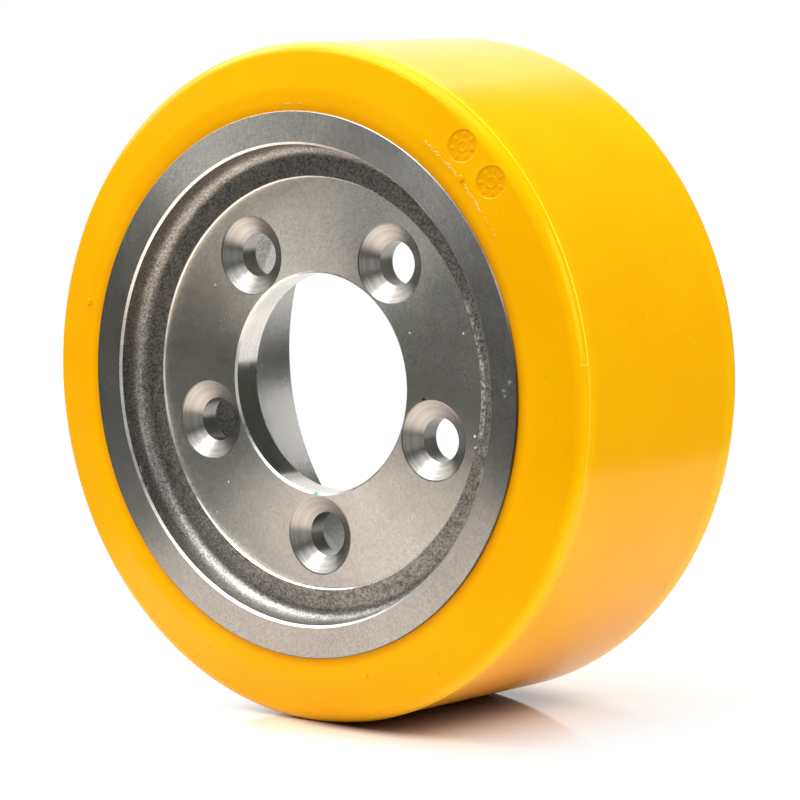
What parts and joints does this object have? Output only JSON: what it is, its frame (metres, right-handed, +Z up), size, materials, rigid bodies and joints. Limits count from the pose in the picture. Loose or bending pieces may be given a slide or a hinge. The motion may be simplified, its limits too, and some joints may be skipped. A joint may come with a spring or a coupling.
{
  "type": "forklift drive wheel",
  "caption": "Solid drive wheel with a yellow polyurethane tread bonded on to a machined cast-iron centre, held to a drive hub by bolts in conical seats round a pilot bore.",
  "frame": {"origin": "middle of the wheel, on its axis and halfway across the rim", "axes": "+Y along the wheel's axis, from the outer face with the conical bolt seats towards the drive hub, +Z up, with one bolt hole straight below the axis"},
  "size_m": [0.254, 0.108, 0.254],
  "materials": {
    "iron": "bare grey iron, turned on the faces and rough as cast between them",
    "polyurethane": "satin moulded polyurethane"
  },
  "bodies": {
    "root": {"wheel_centre": "iron", "tread": "polyurethane"}
  },
  "joints": []
}
